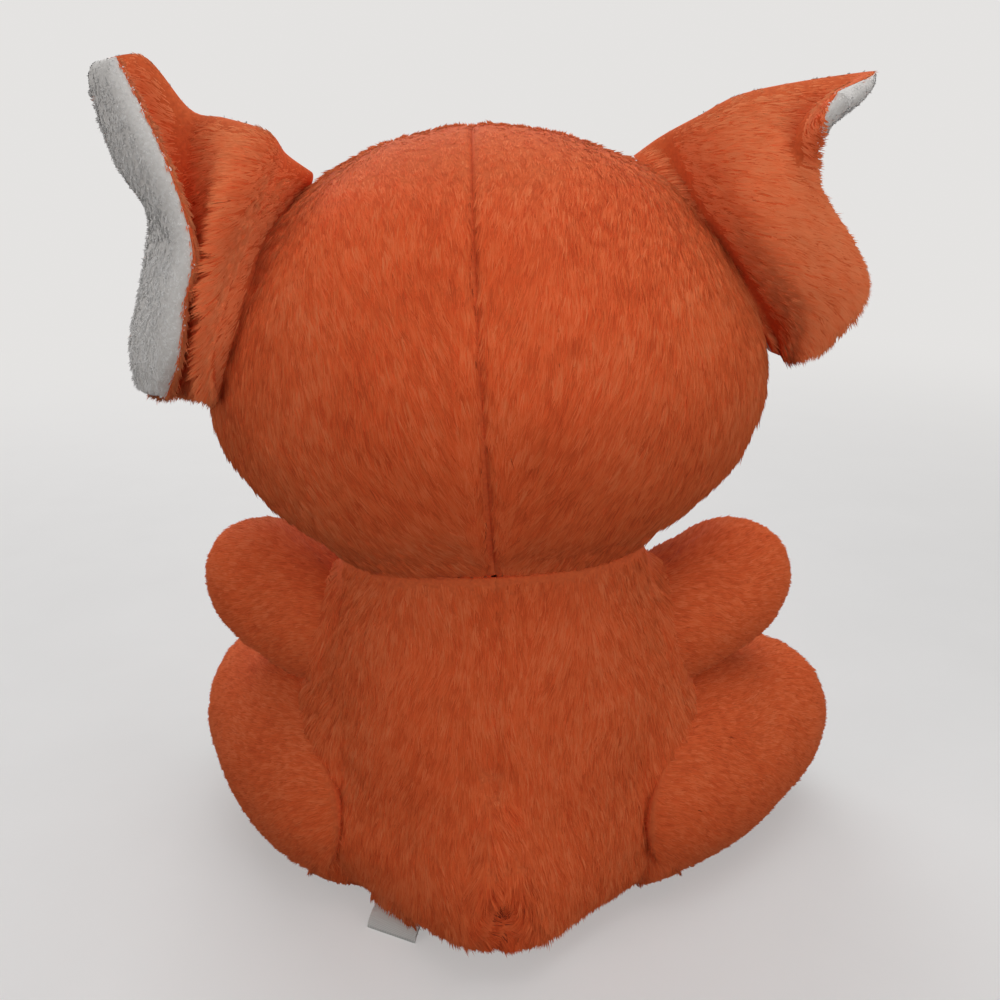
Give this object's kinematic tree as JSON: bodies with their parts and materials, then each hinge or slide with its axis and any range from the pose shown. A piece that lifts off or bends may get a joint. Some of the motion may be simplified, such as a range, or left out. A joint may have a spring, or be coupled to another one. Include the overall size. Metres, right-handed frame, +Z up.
{
  "type": "puppy plush toy",
  "caption": "Sitting orange puppy plush toy with wide two-ply ears, stubby arms and stretched-out legs, sewn from plush panels over fibre filling.",
  "frame": {"origin": "on the table under the middle of the seat", "axes": "+Z up, the toy faces -Y, its own left side is +X"},
  "size_m": [0.1915, 0.1328, 0.2109],
  "materials": {
    "orange_plush": "long orange pile",
    "cream_plush": "short off-white plush",
    "fibre_filling": "polyester fibre filling",
    "black_plastic": "glossy black",
    "white_plastic": "plain white",
    "woven_tab": "bare white woven ribbon"
  },
  "bodies": {
    "torso": {"body_back_left": "orange_plush", "body_back_right": "orange_plush", "body_belly": "cream_plush", "seat_panel": "orange_plush", "body_filling": "fibre_filling", "seat_tab": "woven_tab"},
    "neck": {"neck_filling": "fibre_filling"},
    "head": {"head_back_left": "orange_plush", "head_back_right": "orange_plush", "head_face": "orange_plush", "head_filling": "fibre_filling", "muzzle": "cream_plush", "muzzle_filling": "fibre_filling", "left_eye": "black_plastic", "left_eye_washer": "white_plastic", "right_eye": "black_plastic", "right_eye_washer": "white_plastic", "nose": "black_plastic", "nose_washer": "white_plastic"},
    "left_arm": {"left_arm_back": "orange_plush", "left_arm_front": "orange_plush", "left_arm_filling": "fibre_filling"},
    "left_leg": {"left_leg_outer": "orange_plush", "left_leg_inner": "orange_plush", "left_foot_sole": "cream_plush", "left_leg_filling": "fibre_filling"},
    "left_ear": {"left_ear_back": "orange_plush", "left_ear_lining": "cream_plush"},
    "right_arm": {"right_arm_back": "orange_plush", "right_arm_front": "orange_plush", "right_arm_filling": "fibre_filling"},
    "right_leg": {"right_leg_outer": "orange_plush", "right_leg_inner": "orange_plush", "right_foot_sole": "cream_plush", "right_leg_filling": "fibre_filling"},
    "right_ear": {"right_ear_back": "orange_plush", "right_ear_lining": "cream_plush"}
  },
  "joints": [
    {"name": "head_turn", "type": "hinge", "parent": "torso", "child": "neck", "pos_m": [0, 0, 0.095], "axis": [0, 0, 1], "range_deg": [-15, 15], "stiffness_Nm_per_rad": 0.2},
    {"name": "head_nod", "type": "hinge", "parent": "neck", "child": "head", "pos_m": [0, 0, 0.095], "axis": [1, 0, 0], "range_deg": [-5, 5], "stiffness_Nm_per_rad": 0.4},
    {"name": "left_arm_swing", "type": "hinge", "parent": "torso", "child": "left_arm", "pos_m": [0.04712, -0.004, 0.072], "axis": [-0.2079, 0, 0.9781], "range_deg": [-15, 15], "stiffness_Nm_per_rad": 0.02},
    {"name": "right_arm_swing", "type": "hinge", "parent": "torso", "child": "right_arm", "pos_m": [-0.04712, -0.004, 0.072], "axis": [0.2079, 0, 0.9781], "range_deg": [-15, 15], "stiffness_Nm_per_rad": 0.02},
    {"name": "left_leg_swing", "type": "hinge", "parent": "torso", "child": "left_leg", "pos_m": [0.042, 0.007, 0.027], "axis": [0, 0, 1], "range_deg": [-8, 8], "stiffness_Nm_per_rad": 0.05},
    {"name": "right_leg_swing", "type": "hinge", "parent": "torso", "child": "right_leg", "pos_m": [-0.042, 0.007, 0.027], "axis": [0, 0, 1], "range_deg": [-8, 8], "stiffness_Nm_per_rad": 0.05},
    {"name": "left_ear_flap", "type": "hinge", "parent": "head", "child": "left_ear", "pos_m": [0.05309, 0.01013, 0.16315], "axis": [-0.3716, -0.3511, 0.8594], "range_deg": [-12, 12], "stiffness_Nm_per_rad": 0.01},
    {"name": "right_ear_flap", "type": "hinge", "parent": "head", "child": "right_ear", "pos_m": [-0.04857, 0.00399, 0.16793], "axis": [0.6055, -0.1563, 0.7803], "range_deg": [-12, 12], "stiffness_Nm_per_rad": 0.01}
  ]
}
